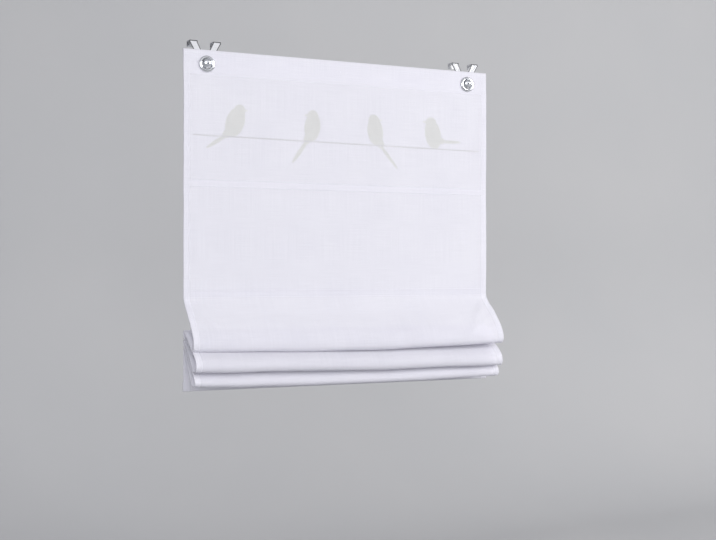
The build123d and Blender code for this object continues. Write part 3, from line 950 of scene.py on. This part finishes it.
def sewn(name, tree, lines, closed=False, **sizes):
    """A plain mesh of what the tree lays along the lines."""
    points, edges = [], []
    for line in lines:
        first = len(points)
        points += line
        edges += [(first + at, first + at + 1) for at in range(len(line) - 1)]
        if closed:
            edges.append((len(points) - 1, first))
    guide = mesh_piece(name + "_lines", points, (), edges)
    maker = guide.modifiers.new(tree.name, "NODES")
    maker.node_group = tree
    wanted = {label.replace("_", " "): value for label, value in sizes.items()}
    wanted["Thread"] = sewing_thread
    for item in tree.interface.items_tree:
        if item.in_out == "INPUT" and item.name in wanted:
            maker[item.identifier] = wanted[item.name]
    bpy.context.view_layer.update()
    shown = guide.evaluated_get(bpy.context.evaluated_depsgraph_get())
    mesh = bpy.data.meshes.new_from_object(shown)
    bpy.data.objects.remove(guide)
    mesh.name = name
    piece = new_object(name, mesh)
    rounded_off(piece)
    return keep(piece, sewing_thread)


running_stitch = make_running_stitch()
thread_tie = make_thread_tie()
FACE = HALF_CLOTH  # how far in front of the cloth's middle a stitch lies
BEHIND_HEM = LAYER + FACE
SEWN_WIDTH = filled([-HALF_WIDTH + 2, HALF_WIDTH - 2], 4.0)
SIDE_SEAM = HALF_WIDTH - SIDE_HEM + EDGE_SEAM
POCKET_STITCH = 7.8  # from a stave's middle to each row beside it
side_run = filled([FRONT + 2, CUT_LENGTH - 33], 3.0)

face_rows = [*HEM_SEAMS, BAR_SEAM]
face_rows += [pocket + off for pocket in POCKETS[:2] for off in (-POCKET_STITCH, POCKET_STITCH)]
face_rows += [pocket + POCKET_STITCH for pocket in POCKETS[2:]]
face_lines = [[on_cloth(x, along, FACE) for x in SEWN_WIDTH] for along in face_rows]
face_lines += [[on_cloth(x, along, FACE) for along in side_run] for x in (-SIDE_SEAM, SIDE_SEAM)]
face_stitches = sewn("face_stitches", running_stitch, face_lines)

back_rows = [TOP_HEM - HEADER_SEAM, EDGE_SEAM, CUT_LENGTH - EDGE_SEAM]
back_lines = [[on_cloth(x, along, FACE) for x in SEWN_WIDTH] for along in back_rows]
back_lines += [
    [on_cloth(x, along, -BEHIND_HEM) for along in side_run] for x in (-SIDE_SEAM, SIDE_SEAM)
]
for stave_drop in STAVES:
    for down in (-POCKET_STITCH, POCKET_STITCH):
        spot = (PANEL - POCKET_SEAM + FACE, TOP - stave_drop - down)
        back_lines.append([Vector((x, *spot)) * MM for x in SEWN_WIDTH])
back_stitches = sewn("back_stitches", running_stitch, back_lines)

# Three turns of thread tie each ring to its pocket, and two pairs sew each guide to the hem.
ring_ties, guide_ties = [], []
TIE_POINTS = 14
for side in SIDES:
    for number in range(1, 6):
        ring = middle(f"{side}_ring_{number}")
        near_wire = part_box(f"{side}_ring_{number}")[0].y + 0.35 * MM
        for step in (-0.55, 0.0, 0.6):
            loop = []
            for at in range(TIE_POINTS):
                turn = 2 * pi * at / TIE_POINTS
                y = near_wire + 1.22 * MM * cos(turn)
                loop.append(Vector((ring.x + step * MM, y, ring.z + 1.12 * MM * sin(turn))))
            ring_ties.append(loop)
    low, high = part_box(f"{side}_cord_guide")
    guide_middle = (low + high) / 2
    for end in (-1, 1):
        for step in (-0.28, 0.28):
            x = guide_middle.x + (end * 8.5 + step) * MM
            near, far = (PANEL - 0.24) * MM, low.y + 1.42 * MM
            corners = [(near, -2.9), (near, 2.9), (far, 2.9), (far, -2.9), (near, -2.9)]
            corners = [(y, guide_middle.z + z * MM) for y, z in corners]
            start = ((near + far) / 2, corners[0][1])
            ring_line = rounded([start, *corners, start], 0.16, 4)
            guide_ties.append([Vector((x, *point)) for point in ring_line[:-1]])
ties = sewn("ring_and_guide_ties", thread_tie, ring_ties + guide_ties, True, Thread_Radius=0.0002)


# ------------------------------------------------------------------------------ lift cords
def tube(line, radius, sides=8):
    """A closed ring of cord along a closed line."""
    points, faces = [], []
    count = len(line)
    normal = Vector((0, 0, 1))
    for at in range(count):
        way = (line[(at + 1) % count] - line[at - 1]).normalized()
        normal = (normal - way * normal.dot(way)).normalized()
        other = way.cross(normal)
        for side in range(sides):
            turn = 2 * pi * side / sides
            points.append(line[at] + (normal * cos(turn) + other * sin(turn)) * radius)
    for at in range(count):
        for side in range(sides):
            here, there = at * sides, ((at + 1) % count) * sides
            beside = (side + 1) % sides
            faces.append((here + side, here + beside, there + beside, there + side))
    return points, faces


def knot(name, centre, width, cord):
    """A tight overhand knot, as one closed loop that crosses itself three times."""
    reach = (width - cord) / 6
    line = []
    for at in range(48):
        turn = 2 * pi * at / 48
        flat = (sin(turn) + 2 * sin(2 * turn), cos(turn) - 2 * cos(2 * turn))
        line.append(centre + Vector((flat[0], flat[1], -0.9 * sin(3 * turn))) * reach)
    piece = mesh_piece(name, *tube(line, cord / 2))
    rounded_off(piece)
    return keep(piece, cord_yarn)


CORD = 1.8 * MM
for side in SIDES:
    lowest_ring = middle(f"{side}_ring_5")
    bell_low, bell_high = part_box(f"{side}_cord_bell")
    guide_middle = middle(f"{side}_cord_guide")
    lift_x, tail_x, y = lowest_ring.x, (bell_low.x + bell_high.x) / 2, lowest_ring.y
    loop_top = guide_middle.z + (tail_x - lift_x) / 2
    clear = loop_top - 6 * CORD
    start = (lift_x, y, lowest_ring.z - 2.5 * MM)
    end = (tail_x, y, bell_low.z + 4.0 * MM)
    route = [start, (lift_x, y, clear), (lift_x, y, loop_top)]
    route += [(tail_x, y, loop_top), (tail_x, y, clear), end]
    curve = bpy.data.curves.new(f"{side}_cord", "CURVE")
    curve.dimensions = "3D"
    spline = curve.splines.new("NURBS")
    spline.points.add(len(route) - 1)
    for point, spot in zip(spline.points, route):
        point.co = (*spot, 1.0)
    spline.order_u = 3
    spline.use_endpoint_u = True
    spline.resolution_u = 16
    curve.bevel_depth = CORD / 2
    curve.bevel_resolution = 4
    curve.use_fill_caps = True
    lift_cord = new_object(f"{side}_cord", curve)
    keep(lift_cord, cord_yarn)
    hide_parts(f"{side}_lift_cord")
    knots = [
        knot(f"{side}_lift_knot", Vector(start), 6.4 * MM, 1.7 * MM),
        knot(f"{side}_tail_knot", Vector(end), 3.8 * MM, 1.4 * MM),
    ]


# ------------------------------------------------------------------------------ lock springs
# Each spring's own turns, joined up.
for side in SIDES:
    node = f"{side}_lock_spring"
    low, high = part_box(node)
    coil = bmesh.new()
    coil.from_mesh(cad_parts[node].data)
    bmesh.ops.remove_doubles(coil, verts=coil.verts, dist=0.001 * MM)
    spring = mesh_piece(f"{side}_coil_spring", [], [])
    coil.to_mesh(spring.data)
    coil.free()
    rounded_off(spring)
    keep(spring, spring_steel)
    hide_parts(node)
    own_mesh(spring)


# ------------------------------------------------------------------------------ stage and light
def stage_material():
    """Matt pale paper, seen from its front only."""
    material, tree, shader, output = new_material("stage_paper")
    mottle = cloud(tree, place(tree), 2.0, 3.0)
    wire(
        tree,
        shader,
        Base_Color=mixed(tree, mottle, shade(180, 181, 183), shade(186, 186, 187)),
        Roughness=remap(tree, mottle, 0.0, 1.0, 0.9, 1.0),
        Specular_IOR_Level=0.1,
    )
    back = add(tree, "ShaderNodeNewGeometry").outputs["Backfacing"]
    one_sided = part_of(tree, back, shader, add(tree, "ShaderNodeBsdfTransparent"))
    tree.links.new(one_sided.outputs[0], output.inputs["Surface"])
    return material


STAGE_FLOOR, STAGE_WALL, STAGE_CURVE = -1.35, 1.5, 0.9
profile = [(-7.0, STAGE_FLOOR)]
for step in range(25):
    turn = radians(90) * step / 24
    y = STAGE_WALL - STAGE_CURVE + STAGE_CURVE * sin(turn)
    profile.append((y, STAGE_FLOOR + STAGE_CURVE * (1 - cos(turn))))
profile.append((STAGE_WALL, 4.5))
points = [(x, y, z) for y, z in profile for x in (-8.0, 8.0)]
faces = [(2 * at, 2 * at + 1, 2 * at + 3, 2 * at + 2) for at in range(len(profile) - 1)]
backdrop = mesh_piece("stage_sweep", points, faces)
rounded_off(backdrop)
backdrop.data.materials.append(stage_material())


def soft_light(name, place_at, aim, size, power, colour):
    """A wide lamp that faces the place it aims at."""
    data = bpy.data.lights.new(name, "AREA")
    data.shape = "RECTANGLE"
    data.size, data.size_y = size
    data.energy = power
    data.color = colour
    lamp = new_object(name, data)
    lamp.location = place_at
    lamp.rotation_euler = (Vector(aim) - Vector(place_at)).to_track_quat("-Z", "Y").to_euler()


soft_light("key", (3.3, -2.5, 0.7), (0, 0, -0.4), (1.9, 1.9), 125.0, (1.0, 0.99, 0.98))
soft_light("fill", (-2.0, -2.9, -0.15), (0, 0, -0.55), (2.8, 2.2), 48.0, (0.97, 0.98, 1.0))
soft_light("behind", (0.3, 1.2, 1.0), (0, 0, -0.5), (1.8, 0.8), 1.0, (0.94, 0.95, 1.0))

# The sky is an even grey, but in front it is dark at eye level and bright above, for the chrome
# to mirror.
world = bpy.data.worlds.new("studio")
world.use_nodes = True
tree = world.node_tree
sky_place = add(tree, "ShaderNodeTexCoord").outputs["Generated"]
height = add(tree, "ShaderNodeSeparateXYZ", None, {0: sky_place}).outputs["Z"]
ramp = add(tree, "ShaderNodeValToRGB", None, {0: remap(tree, height, -1.0, 1.0, 0.0, 1.0)})
stops = ramp.color_ramp.elements
stops[0].position, stops[0].color = 0.30, (0.34, 0.34, 0.35, 1.0)
stops[1].position, stops[1].color = 0.85, (0.80, 0.81, 0.84, 1.0)
for at, grey in ((0.45, 0.15), (0.53, 0.15), (0.57, 0.98), (0.66, 0.95)):
    stops.new(at).color = (grey, grey, grey * 1.04, 1.0)
sky = next(node for node in tree.nodes if node.type == "BACKGROUND")
depth = add(tree, "ShaderNodeSeparateXYZ", None, {0: sky_place}).outputs["Y"]
front = remap(tree, depth, -0.9, -0.35, 1.0, 0.0)
colour = mixed(tree, front, (0.42, 0.42, 0.44, 1.0), ramp.outputs["Color"])
tree.links.new(colour, sky.inputs["Color"])
scene.world = world
scene.view_settings.view_transform = "Standard"
